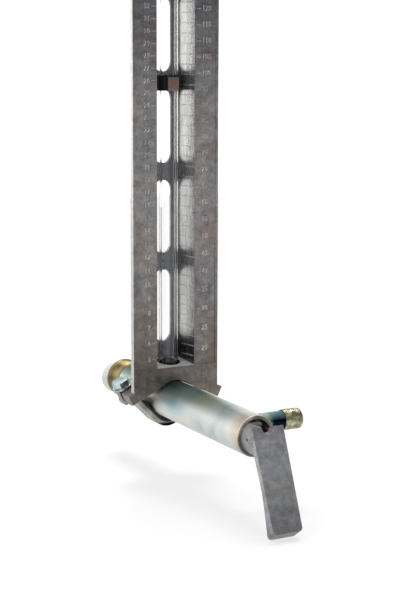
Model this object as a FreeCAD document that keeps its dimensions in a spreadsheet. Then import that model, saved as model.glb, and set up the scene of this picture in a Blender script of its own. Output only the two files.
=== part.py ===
"""Drum level gauge: a cast rail with a sight tube, clamped on the barrel of a drum valve.

Millimetres. The origin is the centre of the barrel's rear end, which screws into the drum.
+Y points into the drum, so the scale faces -Y. +Z is up, along the sight tube.
"""
import FreeCAD, Part
import math
import os

import Sketcher
from FreeCAD import Placement, Rotation, Vector

# Driving sizes. Each one is written once, here.
SIZES = {
    # barrel, valve bore and outlet
    "barrelOuter": 26.67,
    "barrelBore": 20.9,
    "barrelLength": 191,
    "drumThread": 26,
    "drumThreadLength": 19,
    "mouthRound": 1.1,
    "reamBore": 22.2,
    "reamDepth": 53,
    "outletSetback": 29,
    "outletPlain": 12.4,
    "outletThread": 13.2,
    "outletThreadLength": 13,
    "outletBore": 9.24,
    "outletReach": 48.5,
    "outletBevel": 0.6,
    "weldSpread": 1.2,
    "weldHeight": 2,
    "portBore": 6,
    # cast body
    "faceSetback": 83,
    "faceWidth": 63.2,
    "flangeThick": 4,
    "channelFront": 28,
    "channelBack": 21,
    "channelDepth": 20,
    "wall": 3,
    "castRound": 2.5,
    "panelDepth": 0.4,
    "panelRim": 2,
    "floorHeight": 23.5,
    "floorRise": 3,
    "sillRound": 0.8,
    "bodyTop": 540,
    "headThick": 12,
    "windowWidth": 14,
    "windowLength": 49.3,
    "windowStart": 37.8,
    "windowPitch": 60.8,
    "windowCount": 8,
    # foot that straddles the barrel
    "saddleAngle": 26,
    "saddleGap": 0.15,
    "archRound": 1.1,
    "legThick": 7.5,
    "legReach": 29,
    "frontLeg": 11.5,
    "earGap": 3.5,
    "earDepth": 10,
    "earGapStart": 22,
    "earRound": 4,
    # clamp
    "boltShank": 6.2,
    "boltHead": 11.1,
    "boltHeadHigh": 4.2,
    "boltLength": 12.7,
    "boltReach": 23.6,
    "boltPlay": 0.4,
    "washerOuter": 13.8,
    "washerThick": 1.2,
    "strapThick": 3,
    "strapWide": 15,
    "strapAngle": 45,
    "strapGap": 0.2,
    "strapEar": 5,
    "strapBend": 9.5,
    "linerThick": 1.6,
    "fitGap": 0.05,
    # sight tube and its seals
    "tubeOuter": 12.7,
    "tubeBore": 9.5,
    "tubeSetback": 11.5,
    "tubeStandOut": 6,
    "sealOuter": 15.8,
    "sealHeight": 5.2,
    "collarOuter": 22,
    "collarThick": 2,
    "portSealOuter": 11.2,
    "portSealTop": 15.9,
    "capWall": 2.1,
    "capRoof": 3,
    "capVent": 2,
    # valve core and its lever
    "coreGap": 0.06,
    "coreLength": 51,
    "coreNeck": 24,
    "coreFlat": 4.5,
    "coreStep": 1.5,
    "coreFlatDepth": 8.5,
    "coreBore": 12,
    "coreBoreDepth": 28,
    "corePocket": 13,
    "corePocketFloor": 6,
    "corePort": 9.2,
    "leverTop": 9.4,
    "leverSetback": 14,
    "leverLean": 23.4,
    "leverLength": 65.4,
    "leverTopWide": 22,
    "leverEndWide": 20.2,
    "leverTopThick": 4.8,
    "leverWaist": 3.8,
    "leverEndThick": 8.6,
    "leverToe": 1.9,
    "toeRound": 2.5,
    "notchRadius": 4.4,
    "dimple": 1.8,
    "ringSection": 2.4,
    "frontRing": 19.5,
    "rearRing": 41,
    "pinSize": 3,
    "pinSetback": 13,
    "pinDepth": 4.4,
    "turn": 90,
    # level marker on the tube
    "markerHeight": 212.35,
    "markerPlay": 0.06,
    "clipFront": 0.9,
    "clipNose": 8.8,
    "clipWide": 17.8,
    "clipWing": 0.9,
    "clipDeep": 7.4,
    "clipHigh": 10,
    "clipMouth": 10,
    "pointerWide": 7.8,
    "pointerHigh": 8.9,
    "pointerThick": 0.6,
    # white bush in the barrel's rear end
    "bushShoulder": 23.8,
    "bushOuter": 21.4,
    "bushBore": 11,
    "bushReach": 13.5,
    "bushNose": 2.5,
    "bushDrop": 2.3,
    "bushBoreDrop": 1,
    "bushSpigot": 10,
}

# Sizes worked out from the driving ones.
WORKED_OUT = {
    "barrelR": "barrelOuter / 2",
    "boreR": "barrelBore / 2",
    "reamR": "reamBore / 2",
    "coreR": "reamR - coreGap",
    "mouthY": "-barrelLength",
    "outletY": "mouthY + outletSetback",
    "faceY": "-faceSetback",
    "backInnerY": "faceY + channelDepth",
    "backOuterY": "backInnerY + wall",
    "halfFace": "faceWidth / 2",
    "halfFront": "channelFront / 2",
    "halfBack": "channelBack / 2",
    "headFloor": "bodyTop - headThick",
    "footDepth": "frontLeg + earGap + earDepth",
    "footBackY": "faceY + footDepth",
    "saddleN": "barrelR + saddleGap",
    "legTopN": "saddleN + legThick",
    "apexZ": "saddleN / cos(saddleAngle)",
    "legRootX": "halfBack",
    "legRootZ": "(legTopN - legRootX * sin(saddleAngle)) / cos(saddleAngle)",
    "earLowX": "legReach * cos(saddleAngle) + saddleN * sin(saddleAngle)",
    "earLowZ": "saddleN * cos(saddleAngle) - legReach * sin(saddleAngle)",
    "earTopX": "legReach * cos(saddleAngle) + legTopN * sin(saddleAngle)",
    "earTopZ": "legTopN * cos(saddleAngle) - legReach * sin(saddleAngle)",
    "tubeY": "faceY + tubeSetback",
    "tubeR": "tubeOuter / 2",
    "sealSeatZ": "floorHeight - sealHeight - 0.8",
    "tubeTop": "bodyTop + tubeStandOut",
    "earMidY": "footBackY - earDepth / 2",
    "boltSeatN": "legTopN + washerThick",
    "strapTopN": "saddleN - strapGap",
    "strapLowN": "strapTopN - strapThick",
    "strapInner": "barrelR + fitGap + linerThick + fitGap",
    "strapEnd": "boltReach + strapEar",
    "leverY": "mouthY - leverSetback",
    "pinY": "mouthY + pinSetback",
    "pinHalfTurn": "asin(pinSize / 2 / (barrelR - pinDepth)) / 1deg",
}

doc = FreeCAD.newDocument("drum_level_gauge")
sheet = doc.addObject("Spreadsheet::Sheet", "Sizes")
for row, (alias, value) in enumerate(SIZES.items(), 1):
    sheet.set(f"A{row}", alias)
    sheet.set(f"B{row}", str(value))
    sheet.setAlias(f"B{row}", alias)
for row, (alias, formula) in enumerate(WORKED_OUT.items(), 1):
    sheet.set(f"D{row}", alias)
    sheet.set(f"E{row}", "=" + formula)
    sheet.setAlias(f"E{row}", alias)
doc.recompute()

ALIASES = sorted([*SIZES, *WORKED_OUT], key=len, reverse=True)


def bound(formula):
    """Write a formula of size names the way an expression outside the sheet needs it."""
    words = []
    word = ""
    for letter in str(formula) + " ":
        if letter.isalnum():
            word += letter
            continue
        words.append("Sizes." + word if word in ALIASES else word)
        words.append(letter)
        word = ""
    return "".join(words).strip()


def value(formula):
    return float(sheet.evalExpression(bound(formula)))


def bind(thing, **properties):
    """Bind properties such as Length, or Placement.Base.x written Placement_Base_x."""
    for name, formula in properties.items():
        thing.setExpression(name.replace("_", "."), bound(formula))


# Sketches and features


def new_body(label):
    body = doc.addObject("PartDesign::Body", "Body_" + label)
    body.Label = label
    return body


def origin_part(body, role):
    return next(part for part in body.Origin.OriginFeatures if part.Role == role)


def new_sketch(body, name, plane, along="0", turned="0"):
    """A sketch on an origin plane, moved along the plane's normal and turned about its x axis."""
    sketch = body.newObject("Sketcher::SketchObject", name)
    sketch.AttachmentSupport = [(origin_part(body, plane), "")]
    sketch.MapMode = "FlatFace"
    sketch.AttachmentOffset = Placement(Vector(), Rotation(Vector(1, 0, 0), value(turned)))
    bind(sketch, AttachmentOffset_Base_z=along)
    if turned != "0":
        bind(sketch, AttachmentOffset_Rotation_Angle=turned)
    return sketch


def hold_point(sketch, item, point, x, y):
    """Hold one point of a sketch at two formulas from the origin."""
    for kind, formula in (("DistanceX", x), ("DistanceY", y)):
        number = sketch.addConstraint(Sketcher.Constraint(kind, -1, 1, item, point, value(formula)))
        sketch.setExpression(f"Constraints[{number}]", bound(formula))


def polygon(sketch, points):
    corners = [Vector(value(x), value(y), 0) for x, y in points]
    count = len(corners)
    first = sketch.GeometryCount
    for number in range(count):
        sketch.addGeometry(Part.LineSegment(corners[number], corners[(number + 1) % count]))
    for number in range(count):
        ahead = first + (number + 1) % count
        sketch.addConstraint(Sketcher.Constraint("Coincident", first + number, 2, ahead, 1))
    for number, (x, y) in enumerate(points):
        hold_point(sketch, first + number, 1, x, y)


def rectangle(sketch, left, right, low, high):
    polygon(sketch, [(left, low), (right, low), (right, high), (left, high)])


def stadium(sketch, low, high, radius):
    """An upright slot centred on x = 0 between two heights."""
    size = value(radius)
    ends = [value(low) + size, value(high) - size]
    bottom = Part.Circle(Vector(0, ends[0], 0), Vector(0, 0, 1), size)
    top = Part.Circle(Vector(0, ends[1], 0), Vector(0, 0, 1), size)
    half_turn = math.pi
    sketch.addGeometry(Part.ArcOfCircle(bottom, half_turn, 2 * half_turn))
    sketch.addGeometry(Part.ArcOfCircle(top, 0, half_turn))
    sketch.addGeometry(Part.LineSegment(Vector(size, ends[0], 0), Vector(size, ends[1], 0)))
    sketch.addGeometry(Part.LineSegment(Vector(-size, ends[1], 0), Vector(-size, ends[0], 0)))
    for first, first_end, second, second_end in ((0, 2, 2, 1), (2, 2, 1, 1), (1, 2, 3, 1), (3, 2, 0, 1)):
        sketch.addConstraint(Sketcher.Constraint("Tangent", first, first_end, second, second_end))
    hold_point(sketch, 0, 3, "0", f"{low} + {radius}")
    hold_point(sketch, 1, 3, "0", f"{high} - {radius}")
    number = sketch.addConstraint(Sketcher.Constraint("Radius", 0, size))
    sketch.setExpression(f"Constraints[{number}]", bound(radius))


def pad(body, sketch, length, reverse=False):
    feature = body.newObject("PartDesign::Pad", "Pad_" + sketch.Name)
    feature.Profile = sketch
    feature.Reversed = reverse
    bind(feature, Length=length)
    doc.recompute()
    return feature


def pocket(body, sketch, length, reverse=False):
    before = body.Shape.Volume
    feature = body.newObject("PartDesign::Pocket", "Pocket_" + sketch.Name)
    feature.Profile = sketch
    feature.Reversed = reverse
    bind(feature, Length=length)
    doc.recompute()
    if not body.Shape.Volume < before:
        raise RuntimeError(feature.Name + " cuts nothing")
    return feature


def revolve(body, sketch, axis):
    feature = body.newObject("PartDesign::Revolution", "Turned_" + sketch.Name)
    feature.Profile = sketch
    feature.ReferenceAxis = (sketch, [axis])
    feature.Angle = 360
    doc.recompute()
    return feature


def groove(body, sketch, axis, angle="360"):
    """A turned groove, as wide each way from the sketch's plane."""
    before = body.Shape.Volume
    feature = body.newObject("PartDesign::Groove", "Groove_" + sketch.Name)
    feature.Profile = sketch
    feature.ReferenceAxis = (sketch, [axis])
    feature.Midplane = True
    bind(feature, Angle=angle)
    doc.recompute()
    if not body.Shape.Volume < before:
        raise RuntimeError(feature.Name + " cuts nothing")
    return feature


def drill(body, name, radius, length, x="0", y="0", z="0", axis=Vector(0, 0, 1), angle="0"):
    """A round hole from (x, y, z), along +Z turned by angle about axis."""
    before = body.Shape.Volume
    feature = body.newObject("PartDesign::SubtractiveCylinder", name)
    feature.Placement = Placement(Vector(), Rotation(axis, value(angle)))
    bind(feature, Radius=radius, Height=length)
    bind(feature, Placement_Base_x=x, Placement_Base_y=y, Placement_Base_z=z)
    if not angle.lstrip("-").isdigit():
        bind(feature, Placement_Rotation_Angle=angle)
    doc.recompute()
    if not body.Shape.Volume < before:
        raise RuntimeError(name + " cuts nothing")
    return feature


def round_edges(body, name, radius, wanted):
    """Fillet the edges of the body's tip whose centre passes the test."""
    base = body.Tip
    chosen = [
        f"Edge{number}"
        for number, edge in enumerate(base.Shape.Edges, 1)
        if wanted(edge, edge.CenterOfMass)
    ]
    feature = body.newObject("PartDesign::Fillet", name)
    feature.Base = (base, chosen)
    bind(feature, Radius=radius)
    doc.recompute()
    return feature


def near(number, formula):
    return abs(number - value(formula)) < 0.01


# Part primitives


def place(thing, x="0", y="0", z="0", axis=Vector(0, 0, 1), angle="0"):
    thing.Placement = Placement(Vector(), Rotation(axis, value(angle)))
    bind(thing, Placement_Base_x=x, Placement_Base_y=y, Placement_Base_z=z)
    if not angle.lstrip("-").isdigit():
        bind(thing, Placement_Rotation_Angle=angle)
    return thing


def cylinder(name, radius, height, **where):
    thing = doc.addObject("Part::Cylinder", name)
    bind(thing, Radius=radius, Height=height)
    return place(thing, **where)


def box(name, length, width, height, **where):
    thing = doc.addObject("Part::Box", name)
    bind(thing, Length=length, Width=width, Height=height)
    return place(thing, **where)


def cut(label, base, tool):
    thing = doc.addObject("Part::Cut", label)
    thing.Base = base
    thing.Tool = tool
    thing.Label = label
    return thing


def fuse(label, *pieces):
    thing = doc.addObject("Part::MultiFuse", label)
    thing.Shapes = list(pieces)
    thing.Label = label
    return thing


def ring(label, outer, inner, height, **where):
    """A plain round ring or tube, as one solid."""
    blank = cylinder(label + "_blank", outer, height, **where)
    hole = cylinder(label + "_hole", inner, height, **where)
    return cut(label, blank, hole)


X_AXIS = Vector(1, 0, 0)
Y_AXIS = Vector(0, 1, 0)


def leg_point(side, along, out):
    """X and Z of a point on the sloping leg: along it from the middle, and out from the barrel's axis."""
    x = f"{side} * (({along}) * cos(saddleAngle) + ({out}) * sin(saddleAngle))"
    z = f"({out}) * cos(saddleAngle) - ({along}) * sin(saddleAngle)"
    return x, z


# Gauge body: one casting


def hat_section(sketch):
    outer_front = "halfFront + wall"
    outer_back = "halfBack + wall"
    right = [
        ("halfBack", "backInnerY"),
        ("halfFront", "faceY"),
        ("halfFace", "faceY"),
        ("halfFace", "faceY + flangeThick"),
        (outer_front, "faceY + flangeThick"),
        (outer_back, "backOuterY"),
    ]
    left = [(f"-({x})", y) for x, y in reversed(right)]
    polygon(sketch, right + left)


def channel_block(body, name, low, thick):
    """A solid bridge across the channel, flush with the face."""
    sketch = new_sketch(body, name, "XY_Plane", low)
    front = "halfFront + wall / 2"
    back = "halfBack + wall / 2"
    rear_y = "backInnerY + wall / 2"
    polygon(sketch, [(f"-({front})", "faceY"), (front, "faceY"), (back, rear_y), (f"-({back})", rear_y)])
    pad(body, sketch, thick)


def foot_outline(sketch):
    right = [
        ("0", "apexZ"),
        ("earLowX", "earLowZ"),
        ("earTopX", "earTopZ"),
        ("legRootX", "legRootZ"),
    ]
    left = [(f"-({x})", z) for x, z in reversed(right[1:])]
    polygon(sketch, right + left)


def make_gauge_body():
    body = new_body("gauge_body")
    channel_block(body, "floor_block", "0", "floorHeight + floorRise")
    above = new_sketch(body, "floor_slope", "YZ_Plane", "-halfFace")
    front, back = "faceY - wall", "backInnerY + wall"
    low = f"floorHeight - floorRise * wall / channelDepth"
    high = "floorHeight + floorRise + floorRise * wall / channelDepth"
    polygon(above, [(front, low), (back, high), (back, high + " + 1"), (front, high + " + 1")])
    pocket(body, above, "faceWidth", reverse=True)
    round_edges(
        body,
        "sill_round",
        "sillRound",
        lambda edge, centre: near(centre.y, "faceY") and near(centre.z, "floorHeight"),
    )
    section = new_sketch(body, "hat_section", "XY_Plane")
    hat_section(section)
    pad(body, section, "bodyTop")

    def cast_corner(edge, centre):
        upright = edge.Length > value("bodyTop") - 2 * value("floorHeight")
        inner = near(abs(centre.x), "halfBack") and near(centre.y, "backInnerY")
        outer = near(abs(centre.x), "halfBack + wall") and near(centre.y, "backOuterY")
        return upright and (inner or outer)

    round_edges(body, "cast_corners", "castRound", cast_corner)
    panel = new_sketch(body, "scale_panels", "XZ_Plane", "-faceY")
    for side in ("", "-"):
        inside, outside = side + "(halfFront - 1)", side + "(halfFace - panelRim)"
        rectangle(panel, inside, outside, "floorHeight", "headFloor")
    pocket(body, panel, "panelDepth")
    channel_block(body, "head_block", "headFloor", "headThick")

    foot = new_sketch(body, "foot", "XZ_Plane", "-faceY")
    foot_outline(foot)
    pad(body, foot, "footDepth", reverse=True)

    below = new_sketch(body, "below_saddle", "XZ_Plane", "-(faceY - wall)")
    polygon(
        below,
        [
            ("0", "apexZ"),
            ("-earLowX - wall", "apexZ - (earLowX + wall) * tan(saddleAngle)"),
            ("-earLowX - wall", "earLowZ - barrelR"),
            ("earLowX + wall", "earLowZ - barrelR"),
            ("earLowX + wall", "apexZ - (earLowX + wall) * tan(saddleAngle)"),
        ],
    )
    pocket(body, below, "footDepth + 2 * wall")

    round_edges(
        body,
        "apex_round",
        "saddleN",
        lambda edge, centre: near(centre.z, "apexZ") and abs(centre.x) < 0.01,
    )

    def arch_edge(edge, centre):
        out = abs(centre.x) * math.sin(slope) + centre.z * math.cos(slope)
        return near(centre.y, "faceY") and abs(out - value("saddleN")) < 1

    slope = math.radians(value("saddleAngle"))
    round_edges(body, "arch_round", "archRound", arch_edge)

    gaps = new_sketch(body, "ear_gaps", "XY_Plane", "earLowZ - wall")
    for side in ("", "-"):
        inside = side + "earGapStart"
        outside = f"{side}(earTopX + wall)"
        front = "faceY + frontLeg"
        rectangle(gaps, inside, outside, front, front + " + earGap")
    pocket(body, gaps, "legRootZ - earLowZ + 2 * wall", reverse=True)

    def ear_corner(edge, centre):
        long_way = abs(edge.Length - value("legThick")) < 0.1
        return long_way and near(centre.y, "footBackY") and abs(centre.x) > value("boltReach")

    round_edges(body, "ear_corners", "earRound", ear_corner)

    for name, side in (("right", 1), ("left", -1)):
        x, z = leg_point(side, "boltReach", "saddleN - wall")
        drill(
            body,
            "bolt_hole_" + name,
            "(boltShank + boltPlay) / 2",
            "legThick + 3 * wall",
            x=x,
            y="earMidY",
            z=z,
            axis=Y_AXIS,
            angle=f"{side} * saddleAngle",
        )

    window = new_sketch(body, "window", "XZ_Plane", "-(backInnerY - 1)")
    stadium(window, "windowStart", "windowStart + windowLength", "windowWidth / 2")
    first_window = pocket(body, window, "wall + 2")
    windows = body.newObject("PartDesign::LinearPattern", "windows")
    windows.Originals = [first_window]
    windows.Direction = (origin_part(body, "Z_Axis"), [""])
    bind(windows, Length="windowPitch * (windowCount - 1)", Occurrences="windowCount")
    body.Tip = windows
    doc.recompute()

    drill(body, "seal_seat", "sealOuter / 2", "floorHeight", y="tubeY", z="sealSeatZ")
    drill(body, "port", "portBore / 2", "floorHeight", y="tubeY")
    drill(body, "port_seal_seat", "portSealOuter / 2", "portSealTop", y="tubeY")
    drill(body, "head_hole", "sealOuter / 2", "headThick + 2", y="tubeY", z="headFloor - 1")
    return body


# Barrel, outlet and rear bush


def make_barrel():
    body = new_body("barrel")
    profile = new_sketch(body, "barrel_profile", "YZ_Plane")
    polygon(
        profile,
        [
            ("0", "boreR"),
            ("0", "drumThread / 2"),
            ("-drumThreadLength", "drumThread / 2"),
            ("-drumThreadLength", "barrelR"),
            ("mouthY", "barrelR"),
            ("mouthY", "reamR"),
            ("mouthY + reamDepth", "reamR"),
            ("mouthY + reamDepth", "boreR"),
        ],
    )
    revolve(body, profile, "H_Axis")

    def outer_mouth(edge, centre):
        return near(centre.y, "mouthY") and edge.BoundBox.ZMax > value("barrelR") - 0.01

    round_edges(body, "mouth_round", "mouthRound", outer_mouth)
    drill(body, "sight_port", "portBore / 2", "barrelR", y="tubeY")
    drill(
        body,
        "outlet_port",
        "outletBore / 2",
        "barrelR + 1",
        y="outletY",
        axis=Y_AXIS,
        angle="90",
    )
    drill(body, "pin_hole", "pinSize / 2", "barrelR", y="pinY", z="-barrelR - 1")
    return body


def outlet_piece(name, radius, height, x="0"):
    return cylinder(name, radius, height, x=x, y="outletY", axis=Y_AXIS, angle="90")


def make_outlet_nipple():
    """A short pipe welded on the side of the barrel, its inner end fitted to the barrel's curve."""
    plain = outlet_piece("outlet_plain", "outletPlain / 2", "outletReach - outletThreadLength")
    thread_start = "outletReach - outletThreadLength"
    thread_length = "outletThreadLength - outletBevel"
    thread = outlet_piece("outlet_thread", "outletThread / 2", thread_length, thread_start)
    bevel = doc.addObject("Part::Cone", "outlet_bevel")
    bind(bevel, Radius1="outletThread / 2", Radius2="outletThread / 2 - outletBevel", Height="outletBevel")
    place(bevel, x="outletReach - outletBevel", y="outletY", axis=Y_AXIS, angle="90")
    weld = doc.addObject("Part::Cone", "outlet_weld")
    bind(weld, Radius1="outletPlain / 2 + weldSpread + weldHeight", Radius2="outletPlain / 2")
    bind(weld, Height="weldSpread + weldHeight")
    place(weld, x="barrelR - weldHeight", y="outletY", axis=Y_AXIS, angle="90")
    blank = fuse("outlet_blank", plain, thread, bevel, weld)
    bored = cut("outlet_bored", blank, outlet_piece("outlet_hole", "outletBore / 2", "outletReach"))
    saddle = cylinder("outlet_saddle", "barrelR", "barrelLength", axis=X_AXIS, angle="90")
    return cut("outlet_nipple", bored, saddle)


def bush_circle(body, name, along, radius, drop):
    sketch = new_sketch(body, name, "XZ_Plane", f"-({along})")
    centre = Vector(0, -value(drop), 0)
    sketch.addGeometry(Part.Circle(centre, Vector(0, 0, 1), value(radius)))
    hold_point(sketch, 0, 3, "0", f"-({drop})")
    number = sketch.addConstraint(Sketcher.Constraint("Radius", 0, value(radius)))
    sketch.setExpression(f"Constraints[{number}]", bound(radius))
    return sketch


def make_inlet_bush():
    """A white nozzle whose rear end sits lower than the barrel's axis."""
    body = new_body("inlet_bush")
    spigot = bush_circle(body, "bush_spigot", "-bushSpigot", "boreR - fitGap", "0")
    pad(body, spigot, "bushSpigot", reverse=True)
    shoulder = bush_circle(body, "bush_shoulder", "0", "bushShoulder / 2", "0")
    rim = bush_circle(body, "bush_rim", "bushReach", "bushOuter / 2", "bushDrop")
    nose = bush_circle(body, "bush_nose", "bushReach + bushNose", "bushOuter / 2 - bushNose", "bushDrop")
    nozzle = body.newObject("PartDesign::AdditiveLoft", "bush_nozzle")
    nozzle.Profile = shoulder
    nozzle.Sections = [rim, nose]
    nozzle.Ruled = True
    doc.recompute()
    drill(
        body,
        "bush_hole",
        "bushBore / 2",
        "bushSpigot + bushReach + bushNose + 2",
        y="-bushSpigot - 1",
        z="-bushBoreDrop",
        axis=X_AXIS,
        angle="-90",
    )
    return body


# Valve core and lever: one casting


def lever_point(along, behind):
    """Y and Z of a point at a distance down the leaning lever and behind its front face."""
    y = f"leverY - ({along}) * sin(leverLean) + ({behind}) * cos(leverLean)"
    z = f"leverTop - ({along}) * cos(leverLean) - ({behind}) * sin(leverLean)"
    return y, z


def make_valve_lever():
    body = new_body("valve_lever")
    profile = new_sketch(body, "core_profile", "YZ_Plane")
    rear = "mouthY + coreLength"
    bore_end = "mouthY + coreLength - coreBoreDepth"
    polygon(
        profile,
        [
            ("mouthY - coreNeck", "0"),
            ("mouthY - coreNeck", "coreR"),
            (rear, "coreR"),
            (rear, "coreBore / 2"),
            (bore_end, "coreBore / 2"),
            (bore_end, "0"),
        ],
    )
    revolve(body, profile, "H_Axis")

    trim = new_sketch(body, "front_trim", "YZ_Plane", "-barrelR")
    slope = "tan(leverLean)"
    polygon(
        trim,
        [
            ("leverY + 1", "leverTop + 1 / " + slope),
            (f"leverY - (leverTop + barrelR) * {slope}", "-barrelR"),
            ("mouthY - coreNeck * 2", "-barrelR"),
            ("mouthY - coreNeck * 2", "leverTop + 1 / " + slope),
        ],
    )
    pocket(body, trim, "barrelR * 2", reverse=True)

    for name, level, left in (("top_cut", "leverTop", "-barrelR"), ("side_cut", "coreFlat", "coreStep")):
        flat = new_sketch(body, name, "XY_Plane", level)
        rectangle(flat, left, "barrelR", "mouthY - coreNeck", "mouthY + coreFlatDepth")
        pocket(body, flat, "barrelR", reverse=True)
    cored = new_sketch(body, "cored_pocket", "XY_Plane", "-corePocketFloor")
    rectangle(
        cored,
        "-corePocket / 2",
        "corePocket / 2",
        "leverY + 1",
        "mouthY + coreFlatDepth",
    )
    pocket(body, cored, "barrelR", reverse=True)

    for name, setback in (("front_ring", "frontRing"), ("rear_ring", "rearRing")):
        seat = new_sketch(body, name + "_seat", "YZ_Plane")
        middle = f"mouthY + {setback}"
        half = "(ringSection / 2 + 0.3)"
        rectangle(
            seat,
            f"{middle} - {half}",
            f"{middle} + {half}",
            "coreR - ringSection - fitGap",
            "coreR + 1",
        )
        groove(body, seat, "H_Axis")
    stop = new_sketch(body, "stop_groove", "YZ_Plane", "0", "turn / 2")
    rectangle(
        stop,
        "pinY - pinSize / 2 - fitGap",
        "pinY + pinSize / 2 + fitGap",
        "-coreR - 1",
        "-(barrelR - pinDepth - 0.3)",
    )
    groove(body, stop, "H_Axis", "turn + 2 * pinHalfTurn + 4")
    drill(
        body,
        "core_port",
        "corePort / 2",
        "barrelR",
        y="outletY",
        axis=X_AXIS,
        angle="180",
    )

    plate = new_sketch(body, "lever_plate", "YZ_Plane", "-leverTopWide / 2")
    polygon(
        plate,
        [
            lever_point("0", "0"),
            lever_point("leverLength", "0"),
            lever_point("leverLength + leverToe", "leverEndThick"),
            lever_point("leverLength * 0.8", "leverWaist + (leverEndThick - leverWaist) * 0.4"),
            lever_point("leverLength * 0.6", "leverWaist"),
            lever_point("0", "leverTopThick"),
        ],
    )
    pad(body, plate, "leverTopWide")
    taper = new_sketch(body, "lever_taper", "XZ_Plane", "-(leverY - barrelLength / 4)")
    low = "leverTop - leverLength - leverEndThick"
    for side in ("", "-"):
        polygon(
            taper,
            [
                (side + "(leverTopWide / 2)", "leverTop + 0.1"),
                (side + "(leverEndWide / 2)", low),
                (side + "(leverTopWide)", low),
                (side + "(leverTopWide)", "leverTop + 0.1"),
            ],
        )
    pocket(body, taper, "barrelLength / 4")

    def toe_corner(edge, centre):
        low_down = centre.z < value("leverTop - leverLength * cos(leverLean)") + 3
        across = abs(centre.x) > value("leverEndWide") / 2 - 1
        return low_down and across and abs(edge.Length - value("leverEndThick")) < 1

    round_edges(body, "toe_corners", "toeRound", toe_corner)

    drill(
        body,
        "notch",
        "notchRadius",
        "leverTopThick * 3",
        y="leverY - leverTopThick",
        z="leverTop",
        axis=X_AXIS,
        angle="-90",
    )
    drill(
        body,
        "dimple_hole",
        "dimple / 2",
        "3",
        x="-coreR - 1",
        y="mouthY - coreNeck / 3",
        z="1",
        axis=Y_AXIS,
        angle="90",
    )
    return body


def make_core_seal(label, setback):
    """A sealing ring with an eight-sided section."""
    body = new_body(label)
    section = new_sketch(body, label + "_section", "YZ_Plane")
    corners = []
    for turn in range(8):
        angle = 22.5 + 45 * turn
        y = f"mouthY + {setback} + ringSection / 2 * cos({angle})"
        corners.append((y, f"coreR - ringSection / 2 + ringSection / 2 * sin({angle})"))
    polygon(section, corners)
    revolve(body, section, "H_Axis")
    return body


def make_core_pin():
    thing = cylinder("core_pin", "pinSize / 2 - 0.01", "pinDepth", y="pinY", z="-barrelR")
    thing.Label = "core_pin"
    return thing


# Sight tube and seals


def make_sight_tube():
    length = "tubeTop - sealSeatZ - fitGap"
    return ring("sight_tube", "tubeR", "tubeBore / 2", length, y="tubeY", z="sealSeatZ + fitGap")


def make_foot_seal():
    outer = "sealOuter / 2 - fitGap"
    inner = "tubeR + fitGap / 2"
    return ring("tube_foot_seal", outer, inner, "sealHeight", y="tubeY", z="sealSeatZ")


def make_head_seal():
    """A grommet in the top of the body, with a collar that lies on it."""
    plug = cylinder("head_seal_plug", "sealOuter / 2 - fitGap", "headThick", y="tubeY", z="headFloor")
    collar = cylinder("head_seal_collar", "collarOuter / 2", "collarThick", y="tubeY", z="bodyTop")
    blank = fuse("head_seal_blank", plug, collar)
    hole = cylinder("head_seal_hole", "tubeR + fitGap / 2", "headThick * 2", y="tubeY", z="headFloor - 1")
    return cut("tube_head_seal", blank, hole)


def make_tube_cap():
    low = "bodyTop + collarThick"
    high = "tubeTop + capRoof"
    outside = cylinder("cap_outside", "tubeR + capWall", f"{high} - ({low})", y="tubeY", z=low)
    inside = cylinder("cap_inside", "tubeR + fitGap / 2", f"tubeTop - ({low})", y="tubeY", z=low)
    vent = cylinder("cap_vent", "capVent / 2", "capRoof * 3", y="tubeY", z="tubeTop - capRoof")
    return cut("tube_cap", outside, fuse("cap_hollow", inside, vent))


def make_port_seal():
    seal = ring("port_seal_ring", "portSealOuter / 2 - fitGap", "portBore / 2", "portSealTop - barrelR / 2",
                y="tubeY", z="barrelR / 2")
    barrel = cylinder("port_seal_saddle", "barrelR", "barrelLength", axis=X_AXIS, angle="90")
    return cut("port_seal", seal, barrel)


# Clamp


def bent_strip(body, name, inner, outer, ear_top, ear_low, reach):
    """Outline of a strip that runs under the barrel in a V and ends in two sloping ears."""

    def bend(distance, ear):
        x = f"(({ear}) * 1 + ({distance}) * cos(saddleAngle) / cos(strapAngle))"
        x += " / (sin(saddleAngle) + cos(saddleAngle) * tan(strapAngle))"
        z = f"({x}) * tan(strapAngle) - ({distance}) / cos(strapAngle)"
        return x, z

    in_x, in_z = bend(inner, ear_top)
    out_x, out_z = bend(outer, ear_low)
    top_x, top_z = leg_point(1, reach, ear_top)
    low_x, low_z = leg_point(1, reach, ear_low)
    right = [
        ("0", f"-({outer}) / cos(strapAngle)"),
        (out_x, out_z),
        (low_x, low_z),
        (top_x, top_z),
        (in_x, in_z),
    ]
    left = [(f"-({x})", z) for x, z in reversed(right[1:])]
    inner_low = ("0", f"-({inner}) / cos(strapAngle)")
    sketch = new_sketch(body, name, "XZ_Plane", "-(earMidY - strapWide / 2)")
    polygon(sketch, right + [inner_low] + left)
    pad(body, sketch, "strapWide", reverse=True)


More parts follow.
